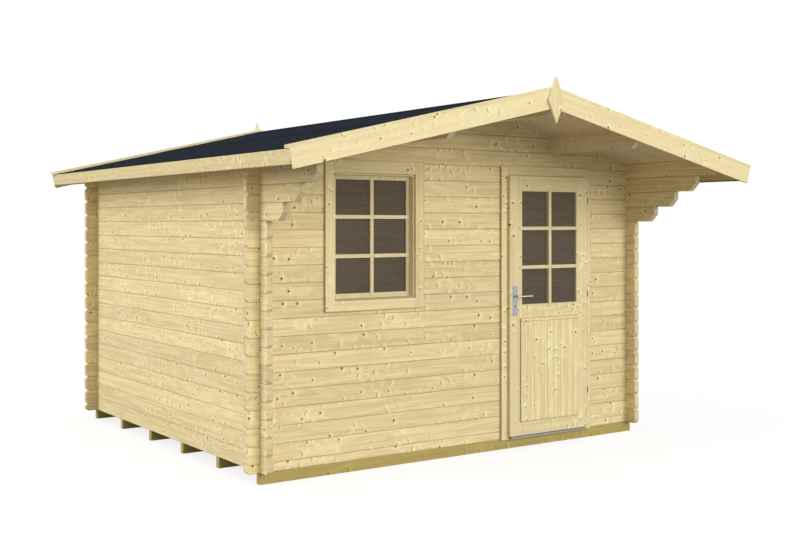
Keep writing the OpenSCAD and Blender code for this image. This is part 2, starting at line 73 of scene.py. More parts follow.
def high(node):
    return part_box(node)[1]


def middle(node):
    return (low(node) + high(node)) / 2


def half_wide(node):
    return (high(node).x - low(node).x) / 2


pitch_angle = math.radians(13)
rise = math.tan(pitch_angle)
log_face = 0.114
side_log_start = low("left_wall").z
end_log_start = side_log_start + log_face / 2

roof_front = low("left_roof_boards").y
roof_back = high("left_roof_boards").y
ridge_top = high("left_roofing").z
board_top = high("left_roof_boards").z
board_thick = 0.019
board_plumb = board_thick / math.cos(pitch_angle)
roof_board_count = 47
roof_board_pitch = (roof_back - roof_front) / roof_board_count

floor_low = low("floor_boards")
floor_high = high("floor_boards")
floor_board_count = 34
floor_board_pitch = (floor_high.x - floor_low.x) / floor_board_count

bearer_count = 6
bearer_pitch = 0.591
bearer_half = 0.0225

door_x = middle("door_leaf").x
door_glass_half = half_wide("door_glass")
door_front = low("door_leaf").y
boarding_half = half_wide("door_boarding")
boarding_foot = low("door_boarding").z
boarding_count = 9
boarding_pitch = 2 * boarding_half / boarding_count
boarding_cap = 0.020
boarding_top = high("door_boarding").z - boarding_cap
window_x = middle("window_glass").x
window_glass_half = half_wide("window_glass")
bar_half = 0.0125
casing_w = 0.072
inner_casing_past = 0.108
casing_off = 0.010
casing_top = low("front_gable").z + casing_off
leaf_gap = 0.003

# Widths of the lines that joints draw, and of the painted shade lines along edges.
log_line = 0.0016
seam_line = 0.0012
rim_line = 0.004


# ---- node trees ----------------------------------------------------------

class Wire:
    """One socket of a node tree. Arithmetic on it adds Math nodes."""

    def __init__(self, net, socket):
        self.net = net
        self.socket = socket

    def out(self, name):
        return Wire(self.net, self.net.find(self.socket.node.outputs, name))

    def __add__(self, other):
        return self.net.math("ADD", self, other)

    def __sub__(self, other):
        return self.net.math("SUBTRACT", self, other)

    def __rsub__(self, other):
        return self.net.math("SUBTRACT", other, self)

    def __mul__(self, other):
        return self.net.math("MULTIPLY", self, other)

    def __truediv__(self, other):
        return self.net.math("DIVIDE", self, other)

    def __gt__(self, other):
        return self.net.math("GREATER_THAN", self, other)

    def __lt__(self, other):
        return self.net.math("LESS_THAN", self, other)

    def __abs__(self):
        return self.net.math("ABSOLUTE", self)

    __radd__ = __add__


class Net:
    """A node tree that is built up from sockets."""

    def __init__(self, tree):
        self.tree = tree

    def find(self, sockets, name):
        if isinstance(name, int):
            return sockets[name]
        return next(s for s in sockets if s.enabled and name in (s.name, s.identifier))

    def add(self, kind, settings=None, inputs=None, out=0):
        """Adds a node of any type and gives one of its outputs."""
        node = self.tree.nodes.new(kind)
        for name, value in (settings or {}).items():
            setattr(node, name, value)
        for name, value in (inputs or {}).items():
            socket = self.find(node.inputs, name)
            if isinstance(value, Wire):
                self.tree.links.new(value.socket, socket)
            else:
                socket.default_value = value
        if len(node.outputs) == 0:
            return None
        return Wire(self, self.find(node.outputs, out))

    def math(self, operation, *values):
        return self.add("ShaderNodeMath", {"operation": operation}, dict(enumerate(values)))

    def more(self, a, b):
        """The greater of two values."""
        return self.math("MAXIMUM", a, b)

    def vector(self, x, y, z):
        return self.add("ShaderNodeCombineXYZ", None, {"X": x, "Y": y, "Z": z})

    def spot(self):
        """The place on the piece."""
        return self.add("ShaderNodeTexCoord", None, None, "Object")

    def fade(self, value, start, end):
        """A smooth step from 0 at start to 1 at end."""
        return self.add(
            "ShaderNodeMapRange", {"interpolation_type": "SMOOTHSTEP"},
            {"Value": value, "From Min": start, "From Max": end}, "Result",
        )

    def thin_line(self, place, at, width):
        """1 on a line, fading to 0 at its width to either side."""
        return self.fade(abs(place - at), width, width * 0.3)

    def mix(self, factor, a, b, how="MIX"):
        """A mix of two colours."""
        return self.add(
            "ShaderNodeMix", {"data_type": "RGBA", "blend_type": how},
            {"Factor": factor, "A": a, "B": b}, "Result",
        )

    def noise(self, at, scale, detail=2.0, rough=0.5):
        return self.add(
            "ShaderNodeTexNoise", None,
            {"Vector": at, "Scale": scale, "Detail": detail, "Roughness": rough}, "Fac",
        )

    def cells(self, run, rest, scale, out):
        """A Voronoi pattern on the face of the boards."""
        return self.add(
            "ShaderNodeTexVoronoi", {"voronoi_dimensions": "2D"},
            {"Vector": self.vector(run, rest, 0.0), "Scale": scale}, out,
        )

    def bump(self, strength, distance, height):
        return self.add(
            "ShaderNodeBump", None,
            {"Strength": strength, "Distance": distance, "Height": height}, "Normal",
        )


def colour(red, green, blue):
    return (red, green, blue, 1.0)


def new_finish(name):
    """A material, its tree and its principled shader."""
    finish = bpy.data.materials.new(name)
    finish.use_nodes = True
    net = Net(finish.node_tree)
    shader = finish.node_tree.nodes["Principled BSDF"]
    return finish, net, shader


def feed(net, shader, **wires):
    """Links or sets a shader's sockets; an underscore stands for a space."""
    for name, value in wires.items():
        socket = shader.inputs[name.replace("_", " ")]
        if isinstance(value, Wire):
            net.tree.links.new(value.socket, socket)
        else:
            socket.default_value = value


def place_of(net):
    """X, Y and Z on the piece."""
    split = net.add("ShaderNodeSeparateXYZ", None, {"Vector": net.spot()}, "X")
    return split, split.out("Y"), split.out("Z")


def cut_across(net, name):
    """1 where the wood is cut across its grain, which runs along the named axis."""
    facing = net.add("ShaderNodeTexCoord", None, None, "Normal")
    split = net.add("ShaderNodeSeparateXYZ", None, {"Vector": facing}, name)
    return net.fade(abs(split), 0.5, 0.65)


# ---- how boards and logs are laid ----------------------------------------
# A layout gives, for any point of a piece: the distance along its grain, across its
# face and through it, a number for the board, a mask of its joints and painted shade
# lines (or None), and a mask of its cut ends, which show no knots. A salt sets one
# piece's boards apart from another's.

def axis(places, name):
    return places["XYZ".index(name)]


def row_of_boards(net, place, start, pitch):
    """The board's number, the distance from its middle line, and that from its edge."""
    count = (place - start) / pitch
    part = net.math("FRACT", count)
    edge = net.math("MINIMUM", part, 1.0 - part) * pitch
    return net.math("FLOOR", count), (part - 0.5) * pitch, edge


def laid_side_by_side(along, across, through, pitch, start, salt, line=seam_line):
    """Boards or logs in a row; those past the shed's middle have numbers of their own."""
    def layout(net):
        places = place_of(net)
        board, off_middle, edge = row_of_boards(net, axis(places, across), start, pitch)
        joint = net.fade(edge, line, line * 0.4)
        past_middle = (axis(places, through) > 0.0) * 40.0
        return (
            axis(places, along), off_middle, axis(places, through),
            board + past_middle + salt, joint, cut_across(net, along),
        )
    return layout


def single_board(along, across, through, salt, shaded_foot=None):
    """One board, which may have a painted shadow line along its foot."""
    def layout(net):
        places = place_of(net)
        joint = None
        if shaded_foot is not None:
            joint = net.fade(axis(places, across) - shaded_foot, 0.011, 0.006)
        return (
            axis(places, along), axis(places, across), axis(places, through),
            net.math("ROUND", axis(places, through) * 2.0) + salt, joint,
            cut_across(net, along),
        )
    return layout


def on_slope(salt):
    """Boards that follow the roof's pitch at the gables."""
    def layout(net):
        x, y, z = place_of(net)
        board = (x > 0.0) + (y > 0.0) * 2.0 + salt
        return x, z + abs(x) * rise, y, board, None, cut_across(net, "X")
    return layout


def framed(
    centre, half, salt, uprights_outside=True, rims_x=(), rims_z=(), rail_edges=(), rail_half=None,
):
    """Uprights and rails, with the grain of each along it, and painted shade lines at the rims and
    rail edges.
    """
    rails_per_metre = 1.7
    seam = seam_line * 1.3
    if uprights_outside:
        seam = -seam

    def layout(net):
        x, y, z = place_of(net)
        off = abs(x - centre)
        upright = off > half if uprights_outside else off < half
        along = x + (z - x) * upright
        across = z + (x - z) * upright
        upright_number = (x > centre) + 1.0
        rail_number = net.math("FLOOR", z * rails_per_metre) + 5.0
        board = rail_number + (upright_number - rail_number) * upright + salt
        joint = net.thin_line(off, half + seam, seam_line)
        # Lines at the rims and rail edges are painted shade, where shade falls along an edge.
        for place, rims in ((x, rims_x), (z, rims_z)):
            for rim in rims:
                joint = net.more(joint, net.thin_line(place, rim, rim_line))
        for edge in rail_edges:
            painted_edge_shade = net.thin_line(z, edge, rim_line) * (off < (rail_half or half))
            joint = net.more(joint, painted_edge_shade)
        return along, across, y, board, joint, 0.0
    return layout


def capped_boards(salt):
    """The door's upright boards, and the strip along their tops."""
    outer_line = rim_line * 0.7

    def layout(net):
        x, y, z = place_of(net)
        board, off_middle, edge = row_of_boards(net, x, door_x - boarding_half, boarding_pitch)
        on_cap = z > boarding_top
        split = net.fade(edge, seam_line, seam_line * 0.4) * (1.0 - on_cap) * 0.35
        under_cap = net.thin_line(z, boarding_top, rim_line)
        # The lines along the boarding's sides and foot are painted shade where the boarding stands
        # proud of the leaf; the line under the cap is its seam.
        side = net.fade(abs(abs(x - door_x) - boarding_half), outer_line, 0.001) * 0.7
        foot = net.fade(z - boarding_foot, outer_line, 0.001)
        joint = net.more(net.more(split, net.more(side, foot)), under_cap)
        along = z + (x - z) * on_cap
        across = off_middle + (z - boarding_top - off_middle) * on_cap
        return along, across, y, board + on_cap * 31.0 + salt, joint, 0.0
    return layout


# ---- colours -------------------------------------------------------------
# Each wood has a pale early wood and a darker late wood.

log_pale = colour(0.895, 0.766, 0.452)
log_late = colour(0.745, 0.600, 0.312)
trim_pale = colour(0.885, 0.766, 0.458)
trim_late = colour(0.765, 0.630, 0.338)
bar_pale = colour(0.840, 0.728, 0.475)
bar_late = colour(0.727, 0.599, 0.352)
sash_pale = colour(0.740, 0.652, 0.425)
sash_late = colour(0.630, 0.533, 0.314)
barge_pale = colour(0.965, 0.830, 0.500)
barge_late = colour(0.880, 0.730, 0.410)
eave_pale = colour(0.755, 0.637, 0.362)
eave_late = colour(0.640, 0.512, 0.264)
board_pale = colour(0.790, 0.665, 0.445)
board_late = colour(0.655, 0.535, 0.337)
treated_pale = colour(0.53, 0.418, 0.145)
treated_late = colour(0.43, 0.326, 0.105)

joint_brown = colour(0.24, 0.17, 0.075)
# Painted shadow for the shade at the foot of the eave boards.
eave_foot_painted_shadow = colour(0.11, 0.078, 0.034)
heart_dark = colour(0.036, 0.014, 0.005)
heart_light = colour(0.14, 0.053, 0.014)

# Wood cut across its grain is painted a little darker and cooler than its sides: painted shade, as
# on the shaded log ends at the corners.
cut_end_painted_shade = colour(0.915, 0.925, 0.985)


# ---- finishes ------------------------------------------------------------

def whorls(net, run, rest, cluster, share):
    """Bowed marks left by rings of small branches, and the pale wood beside them."""
    cells = net.cells(run, rest, 10.0, "Position")
    centre = net.add("ShaderNodeSeparateXYZ", None, {"Vector": cells}, "X")
    lucks = net.add("ShaderNodeSeparateColor", None, {"Color": cells.out("Color")}, "Red")
    u = run - centre
    v = rest - centre.out("Y")
    there = (lucks < share) * cluster
    bowed = u + v * (lucks.out("Green") - 0.5) * 1.3 + v * v * ((lucks.out("Blue") - 0.5) * 50.0)
    mark = net.fade(abs(bowed), 0.0050, 0.0016) * net.fade(abs(v), 0.022, 0.008) * there
    glow = net.fade(abs(bowed - 0.018), 0.026, 0.004) * net.fade(abs(v), 0.042, 0.008) * there
    return mark, glow


def knots(net, run, rest, through, share, on_grain):
    """The knots' cores, halos, pale collars and the swirl of grain about them."""
    scale = 8.0
    least = 0.0021
    spread_of_sizes = 0.0036
    cells = net.cells(run, rest, scale, "Distance")
    lucks = net.add("ShaderNodeSeparateColor", None, {"Color": cells.out("Color")}, "Red")
    centre = net.add("ShaderNodeSeparateXYZ", None, {"Vector": cells.out("Position")}, "X")
    wobble = net.noise(net.vector(run, rest, through), 90.0, 1.0)
    size = lucks.out("Green") * spread_of_sizes + least
    rim = cells / scale / size + (wobble - 0.5) * 0.9
    there = (lucks < share) * on_grain
    core = net.fade(rim, 1.30, 0.80) * there
    halo = net.fade(rim, 2.8, 1.0) * there
    beside = net.fade(run - centre, -0.003, 0.010)
    collar = net.fade(rim, 9.0, 3.0) * beside * there
    swirl = net.fade(rim, 6.0, 1.0) * there
    heart = net.mix(lucks.out("Blue"), heart_dark, heart_light)
    return core, halo, collar, swirl, heart


def pine(
    name, layout, pale, late, knot_share=0.5, joint_depth=0.55, contrast=1.15, branch_share=0.7,
    variety=0.11, joint_shade=joint_brown,
):
    """Planed pine: growth rings, streaks, pale figure, knots and joints; cut ends and the layout's
    edge lines get painted shade.
    """
    finish, net, shader = new_finish(name)
    along, across, through, board, joint, cut_end = layout(net)
    chance = net.add("ShaderNodeTexWhiteNoise", {"noise_dimensions": "1D"}, {"W": board}, "Color")
    luck_a = net.add("ShaderNodeSeparateColor", None, {"Color": chance}, "Red")
    luck_b = luck_a.out("Green")
    luck_c = luck_a.out("Blue")
    run = along + luck_a * 37.0
    rest = across + luck_b * 11.0
    on_grain = 1.0 - cut_end
    core, halo, collar, swirl, heart = knots(net, run, rest, through, knot_share, on_grain)

    ring_width = 0.0062
    bend = net.noise(net.vector(run * 0.9, rest * 5.0, through * 5.0), 1.0, 1.0)
    off_pith = across + (luck_b - 0.5) * 0.12
    deep = through + luck_c * 0.05
    from_pith = net.math("SQRT", off_pith * off_pith + deep * deep)
    rings = from_pith + (bend - 0.5) * 0.05 + swirl * 0.006
    ring = net.math("FRACT", rings / ring_width)
    late_wood = net.fade(ring, 0.45, 0.95) * net.fade(ring, 1.0, 0.96)
    streak = net.noise(net.vector(run * 1.3, rest * 34.0 + swirl, through * 20.0), 1.0, 3.0, 0.6)
    thread = net.noise(net.vector(run * 4.0, rest * 120.0 + swirl, through * 60.0), 1.0, 2.0, 0.6)
    fibre = net.noise(net.vector(run * 12.0, rest * 900.0, through * 900.0), 1.0, 1.0)

    figure_at = net.vector(run * 16.0, rest * 26.0 + bend * 6.0, through * 9.0)
    figure = net.fade(net.noise(figure_at, 1.0, 1.0), 0.54, 0.72)
    cluster = net.fade(net.noise(net.vector(run * 2.2, rest * 4.0, 3.0), 1.0, 1.0), 0.44, 0.60)
    cluster = cluster * on_grain
    gleam = figure * cluster
    mark, glow = whorls(net, run, rest, cluster, branch_share)

    wood = net.mix(late_wood * (0.40 * contrast), pale, late)
    wood = net.mix(net.fade(streak, 0.40, 0.70) * (0.70 * contrast), wood, late)
    wood = net.mix(net.fade(thread, 0.50, 0.68) * (0.60 * contrast), wood, late)
    light_wood = colour(*[min(c * 1.13, 0.98) for c in pale[:3]])
    shine = net.more(gleam * 0.7, net.more(glow, collar) * 0.75)
    wood = net.mix(shine, wood, light_wood)
    tone = (luck_c - 0.5) * variety + 1.0
    hue = (luck_a - 0.4) * 0.012
    wood = net.mix(1.0, wood, net.vector(tone + hue, tone - hue, tone - hue * 0.5), "MULTIPLY")
    # Cut ends are painted darker and cooler: painted shade.
    wood = net.mix(cut_end, wood, cut_end_painted_shade, "MULTIPLY")
    amber = colour(late[0] * 0.62, late[1] * 0.47, late[2] * 0.25)
    wood = net.mix(net.more(halo * 0.75, mark), wood, amber)
    wood = net.mix(core, wood, heart)
    if joint is not None:
        wood = net.mix(joint * joint_depth, wood, joint_shade)
    feed(
        net, shader, Base_Color=wood, Roughness=0.66 - core * 0.18 + streak * 0.08,
        Normal=net.bump(0.18, 0.0012, fibre * 0.25 - late_wood * 0.3 + core * 0.5),
        Specular_IOR_Level=0.2,
    )
    return finish


def felt(name):
    """Roofing felt with a fine mineral face."""
    finish, net, shader = new_finish(name)
    spot = net.spot()
    grit = net.noise(spot, 520.0, 2.0, 0.7)
    cloud = net.noise(spot, 3.0, 3.0)
    speckle = net.fade(grit, 0.58, 0.72)
    face = net.mix(
        net.fade(cloud, 0.3, 0.7), colour(0.0012, 0.0046, 0.0126), colour(0.0036, 0.0085, 0.0175),
    )
    face = net.mix(speckle * 0.6, face, colour(0.0115, 0.0175, 0.031))
    feed(
        net, shader, Base_Color=face, Roughness=0.9 + speckle * 0.06,
        Normal=net.bump(0.5, 0.0008, grit), Specular_IOR_Level=0.03,
    )
    return finish


def pane(name):
    """Clear glass over a dark room, faintly uneven, with a dark brown colour that is painted shade
    of the room behind it.
    """
    finish, net, shader = new_finish(name)
    sheet = net.noise(net.spot(), 2.2, 2.0)
    painted_room_shade = net.mix(
        net.fade(sheet, 0.3, 0.7), colour(0.125, 0.110, 0.101), colour(0.143, 0.127, 0.117),
    )
    feed(
        net, shader, Base_Color=painted_room_shade, Roughness=0.06 + sheet * 0.03,
        Normal=net.bump(0.04, 0.002, sheet), Alpha=0.42, Specular_IOR_Level=0.05,
    )
    return finish


def brushed(name, bright, dull, along, rough):
    """Bare metal with fine marks along one direction."""
    finish, net, shader = new_finish(name)
    scales = [60.0 if letter == along else 1400.0 for letter in "XYZ"]
    places = place_of(net)
    marks = net.noise(net.vector(*[p * s for p, s in zip(places, scales)]), 1.0, 2.0)
    cloud = net.noise(net.vector(*places), 25.0, 2.0)
    metal = net.mix(marks * 0.5 + cloud * 0.5, bright, dull)
    feed(
        net, shader, Base_Color=metal, Metallic=0.85, Roughness=marks * 0.14 + (rough - 0.07),
        Normal=net.bump(0.12, 0.0003, marks),
    )
    return finish


def bronze_paint(name):
    """Dark bronze paint, a little worn."""
    finish, net, shader = new_finish(name)
    wear = net.fade(net.noise(net.spot(), 190.0, 3.0, 0.6), 0.58, 0.75)
    paint = net.mix(wear * 0.6, colour(0.082, 0.057, 0.018), colour(0.165, 0.118, 0.050))
    feed(
        net, shader, Base_Color=paint, Metallic=0.1, Roughness=0.55 + wear * 0.1,
        Normal=net.bump(0.1, 0.0004, wear), Specular_IOR_Level=0.2,
    )
    return finish


def keyhole_painted_shade(name):
    """Painted shade: a thin dark plate for the dark inside of a keyhole."""
    finish, net, shader = new_finish(name)
    shade_mottle = net.noise(net.spot(), 600.0, 2.0)
    dark = net.mix(shade_mottle, colour(0.012, 0.011, 0.010), colour(0.030, 0.028, 0.025))
    feed(net, shader, Base_Color=dark, Metallic=0.4, Roughness=0.5 + shade_mottle * 0.2)
    return finish


# ---- the solids' finishes ------------------------------------------------

def dress(finish, *names):
    for name in names:
        piece = nodes[name].data
        piece.materials.clear()
        piece.materials.append(finish)


def dress_logs_and_bearers():
    ends = laid_side_by_side("X", "Z", "Y", log_face, end_log_start, salt=3.0, line=log_line)
    dress(
        pine(
            "logs_across", ends, log_pale, log_late, knot_share=0.5, joint_depth=0.75,
            contrast=1.3, branch_share=0.7, variety=0.13,
        ),
        "front_wall_left", "front_wall_right", "front_gable", "back_wall",
    )
    sides = laid_side_by_side("Y", "Z", "X", log_face, side_log_start, salt=90.0, line=log_line)
    dress(
        pine(
            "logs_lengthways", sides, log_pale, log_late, knot_share=0.7, joint_depth=0.75,
            contrast=1.3, branch_share=0.5, variety=0.13,
        ),
        "left_wall", "right_wall", "left_eave_logs", "right_eave_logs",
    )
    bearers = single_board("X", "Z", "Y", salt=61.0)
    dress(
        pine(
            "treated_bearers", bearers, treated_pale, treated_late, knot_share=0.15,
            joint_depth=0.0, contrast=0.8,
        ),
        "floor_bearers",
    )


def dress_roof():
    dress(
        pine("purlins", single_board("Y", "Z", "X", salt=17.0), board_pale, board_late),
        "ridge_purlin", "left_purlin", "right_purlin",
    )
    # The eave boards get a painted shadow line along their foot.
    eaves = single_board("Y", "Z", "X", salt=23.0, shaded_foot=low("left_eave_board").z)
    dress(
        pine(
            "eave_boards", eaves, eave_pale, eave_late, joint_depth=0.9,
            joint_shade=eave_foot_painted_shadow,
        ),
        "left_eave_board", "right_eave_board",
    )
    barges = on_slope(salt=31.0)
    dress(
        pine("barge_boards", barges, barge_pale, barge_late, contrast=1.4, variety=0.05),
        "front_left_barge", "front_right_barge", "back_left_barge", "back_right_barge",
    )
    dress(
        pine("cover_strips", on_slope(salt=37.0), trim_pale, trim_late, knot_share=0.2),
        "front_left_cover", "front_right_cover", "back_left_cover", "back_right_cover",
    )
    finials = single_board("Z", "X", "Y", salt=43.0)
    dress(
        pine("finials", finials, trim_pale, trim_late, knot_share=0.1),
        "front_finial", "back_finial",
    )
    dress(roof_felt, "left_roofing", "right_roofing")


def dress_window():
    casing_half = half_wide("window_sash") + casing_off
    casing_foot = low("window_sash").z - casing_off
    casing_head = high("window_sash").z + casing_off
    # The casing's outer edges, its top and its inner edges at foot and head carry painted shade
    # lines.
    casing = framed(
        window_x, casing_half, salt=47.0,
        rims_x=(window_x - casing_half - casing_w, window_x + casing_half + casing_w),
        rims_z=(casing_foot - casing_w, casing_top), rail_edges=(casing_foot, casing_head),
    )
    dress(pine("window_casing_pine", casing, trim_pale, trim_late), "window_casing")
    sash = framed(window_x, window_glass_half, salt=53.0)
    # The sash's wood is darker and duller than the casing's, partly as painted shade for its
    # recess.
    dress(pine("window_joinery", sash, sash_pale, sash_late, knot_share=0.2), "window_sash")
    # A painted shadow line on the frame just above the casing's foot, where the gap under the sash
    # is in shade.
    painted_shadow_above_casing = (0.002, 0.007)
    surround = framed(
        window_x, window_glass_half, salt=57.0,
        rail_edges=[casing_foot + up for up in painted_shadow_above_casing], rail_half=casing_half,
    )
    # The frame takes the paler barge wood as painted light: its reveal shows lit, though it sits
    # in the casing's shade.
    dress(
        pine(
            "window_frame_pine", surround, barge_pale, barge_late, knot_share=0.2,
            joint_depth=0.7,
        ),
        "window_frame",
    )
    bars = framed(window_x, bar_half, salt=71.0, uprights_outside=False)
    dress(pine("window_bar_pine", bars, bar_pale, bar_late, knot_share=0.1), "window_bars")


def dress_door():
    off_boarding = 0.002
    leaf = high("door_leaf")
    doorway_half = half_wide("door_casing") - inner_casing_past
    # The casing's outer edges, its top and a line just above the leaf are painted shade.
    casing = framed(
        door_x, doorway_half, salt=59.0,
        rims_x=(door_x - doorway_half - casing_w, door_x + doorway_half + casing_w),
        rims_z=(casing_top,), rail_edges=(leaf.z + leaf_gap,),
    )
    dress(pine("doorway_pine", casing, trim_pale, trim_late), "door_casing")
    # The door frame takes the paler barge wood as painted light in the dark gap round the leaf.
    surround = framed(door_x, doorway_half, salt=63.0)
    dress(
        pine("door_frame_pine", surround, barge_pale, barge_late, knot_share=0.2), "door_frame",
    )
    # The leaf's right edge and top, and lines just above the boarding's cap and below its foot,
    # are painted shade.
    rims = framed(
        door_x, door_glass_half, salt=67.0, rims_x=(leaf.x,), rims_z=(leaf.z,),
        rail_edges=(high("door_boarding").z + off_boarding, boarding_foot - off_boarding),
        rail_half=boarding_half,
    )
    dress(
        pine("door_pine", rims, trim_pale, trim_late, knot_share=0.45, variety=0.05),
        "door_leaf",
    )
    bars = framed(door_x, bar_half, salt=73.0, uprights_outside=False)
    dress(pine("door_bar_pine", bars, bar_pale, bar_late, knot_share=0.1), "door_bars")
    boards = capped_boards(salt=79.0)
    dress(
        pine("door_boards", boards, barge_pale, trim_late, knot_share=0.45, variety=0.04),
        "door_boarding",
    )
    dress(bronze_paint("hinge_bronze"), "frame_hinges", "door_hinges")
    dress(lock_metal, "handle_plates")
    sill = brushed(
        "sill_metal", colour(0.30, 0.31, 0.325), colour(0.23, 0.24, 0.255), "X", rough=0.42,
    )
    dress(sill, "door_threshold")
    lever = brushed(
        "lever_metal", colour(0.66, 0.67, 0.69), colour(0.54, 0.55, 0.58), "X", rough=0.40,
    )
    dress(lever, "handle_lever")


roof_felt = felt("roof_felt")
lock_metal = brushed(
    "lock_metal", colour(0.325, 0.338, 0.365), colour(0.245, 0.257, 0.285), "Z", rough=0.42,
)
nail_metal = brushed(
    "nail_metal", colour(0.50, 0.42, 0.27), colour(0.36, 0.29, 0.18), "Z", rough=0.62,
)
dress_logs_and_bearers()
dress_roof()
dress_window()
dress_door()
dress(pane("window_panes"), "window_glass", "door_glass")


# ---- making pieces -------------------------------------------------------

def shape(name, points, faces):
    """An object with a mesh of these points and faces."""
    mesh = bpy.data.meshes.new(name)
    mesh.from_pydata([tuple(p) for p in points], [], faces)
    mesh.validate()
    piece = bpy.data.objects.new(name, mesh)
    put_in_scene(piece)
    return piece


def drawn_out(name, *outlines):
    """A solid through outlines of as many points each, with closed ends."""
    count = len(outlines[0])
    last = (len(outlines) - 1) * count
    faces = [tuple(reversed(range(count))), tuple(range(last, last + count))]
    for level in range(0, last, count):
        for i in range(count):
            j = (i + 1) % count
            faces.append((level + i, level + j, level + j + count, level + i + count))
    return shape(name, [p for outline in outlines for p in outline], faces)


def outward(piece):
    """Turns every face of a closed piece outwards."""
    bpy.context.view_layer.objects.active = piece
    bpy.ops.object.select_all(action="DESELECT")
    piece.select_set(True)
    bpy.ops.object.mode_set(mode="EDIT")
    bpy.ops.mesh.select_all(action="SELECT")
    bpy.ops.mesh.normals_make_consistent(inside=False)
    bpy.ops.object.mode_set(mode="OBJECT")
    return piece


def new_tree(name, sockets):
    """A geometry tree with named inputs, and a socket for each of them."""
    tree = bpy.data.node_groups.new(name, "GeometryNodeTree")
    tree.interface.new_socket("Geometry", in_out="INPUT", socket_type="NodeSocketGeometry")
    keys = {}
    for title, kind in sockets.items():
        made = tree.interface.new_socket(title, in_out="INPUT", socket_type="NodeSocket" + kind)
        keys[title] = made.identifier
    tree.interface.new_socket("Geometry", in_out="OUTPUT", socket_type="NodeSocketGeometry")
    net = Net(tree)
    inputs = net.add("NodeGroupInput", None, None, "Geometry")
    return tree, keys, net, inputs


def finish_tree(net, inputs, copies):
    plain = net.add("GeometryNodeRealizeInstances", None, {"Geometry": copies})
    dressed = net.add(
        "GeometryNodeSetMaterial", None, {"Geometry": plain, "Material": inputs.out("Material")},
    )
    net.add("NodeGroupOutput", None, {"Geometry": dressed})


def run_tree():
    """Lays copies of one board side by side."""
    tree, keys, net, inputs = new_tree(
        "run_of_boards", {"Count": "Int", "Step": "Vector", "Material": "Material"},
    )
    line = net.add(
        "GeometryNodeMeshLine", {"mode": "OFFSET"},
        {"Count": inputs.out("Count"), "Offset": inputs.out("Step")}, "Mesh",
    )
    copies = net.add(
        "GeometryNodeInstanceOnPoints", None, {"Points": line, "Instance": inputs}, "Instances",
    )
    finish_tree(net, inputs, copies)
    return tree, keys


def fixing_tree():
    """Sets a nail or screw head on each point, facing the way that the point says."""
    quarter_turn = 1.57
    tree, keys, net, inputs = new_tree(
        "fixings", {"Head": "Object", "Seed": "Int", "Material": "Material"},
    )
    facing = net.add(
        "GeometryNodeInputNamedAttribute", {"data_type": "FLOAT_VECTOR"}, {"Name": "facing"},
        "Attribute",
    )
    turned = net.add(
        "FunctionNodeAlignRotationToVector", {"axis": "Z"}, {"Vector": facing}, "Rotation",
    )
    spin = net.add(
        "FunctionNodeRandomValue", {"data_type": "FLOAT"},
        {"Min": 0.0, "Max": quarter_turn, "Seed": inputs.out("Seed")}, "Value",
    )
    about = net.add(
        "FunctionNodeAxisAngleToRotation", None, {"Axis": (0.0, 0.0, 1.0), "Angle": spin},
    )
    placed = net.add(
        "FunctionNodeRotateRotation", {"rotation_space": "LOCAL"},
        {"Rotation": turned, "Rotate By": about}, "Rotation",
    )
    head = net.add("GeometryNodeObjectInfo", None, {"Object": inputs.out("Head")}, "Geometry")
    copies = net.add(
        "GeometryNodeInstanceOnPoints", None,
        {"Points": inputs, "Instance": head, "Rotation": placed}, "Instances",
    )
    finish_tree(net, inputs, copies)
    return tree, keys


def grown(name, seed_piece, tree_and_keys, values):
    """The plain mesh that a tree makes of a piece."""
    tree, keys = tree_and_keys
    modifier = seed_piece.modifiers.new("build", "NODES")
    modifier.node_group = tree
    for title, value in values.items():
        modifier[keys[title]] = value
    bpy.context.view_layer.update()
    seen = seed_piece.evaluated_get(bpy.context.evaluated_depsgraph_get())
    mesh = bpy.data.meshes.new_from_object(seen)
    seed_piece.modifiers.remove(modifier)
    bpy.data.objects.remove(seed_piece)
    mesh.name = name
    piece = bpy.data.objects.new(name, mesh)
    put_in_scene(piece)
    return piece


def settle(piece, body, slot, *replaced):
    """Sets a piece on its body and hides the solids that it stands in for; its slot is not used.
    """
    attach(piece, body)
    if replaced:
        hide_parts(*replaced)


board_run = run_tree()
fixing_set = fixing_tree()


# ---- roof and floor boards -----------------------------------------------

def roof_planks(name, side, node, salt):
    """Tongued boards from the ridge to the eave, with a vee below each joint."""
    foot = abs(low(node).x if side < 0 else high(node).x)
    underside = board_top - board_plumb
    half_gap = 0.0002
    half = roof_board_pitch / 2 - half_gap
    vee = 0.003
    profile = [
        (-half, vee), (vee - half, 0.0), (half - vee, 0.0), (half, vee),
        (half, board_plumb), (-half, board_plumb),
    ]
    first = roof_front + roof_board_pitch / 2
    at_ridge = [Vector((0.0, first + y, underside + up)) for y, up in profile]
    at_eave = [p + Vector((side * foot, 0.0, -foot * rise)) for p in at_ridge]
    plank = outward(drawn_out(name + "_seed", at_ridge, at_eave))
    layout = laid_side_by_side("X", "Y", "Z", roof_board_pitch, roof_front, salt)
    piece = grown(name, plank, board_run, {
        "Count": roof_board_count,
        "Step": (0.0, roof_board_pitch, 0.0),
        "Material": pine(name + "_pine", layout, board_pale, board_late),
    })
    settle(piece, "shed", "board_pine", node)


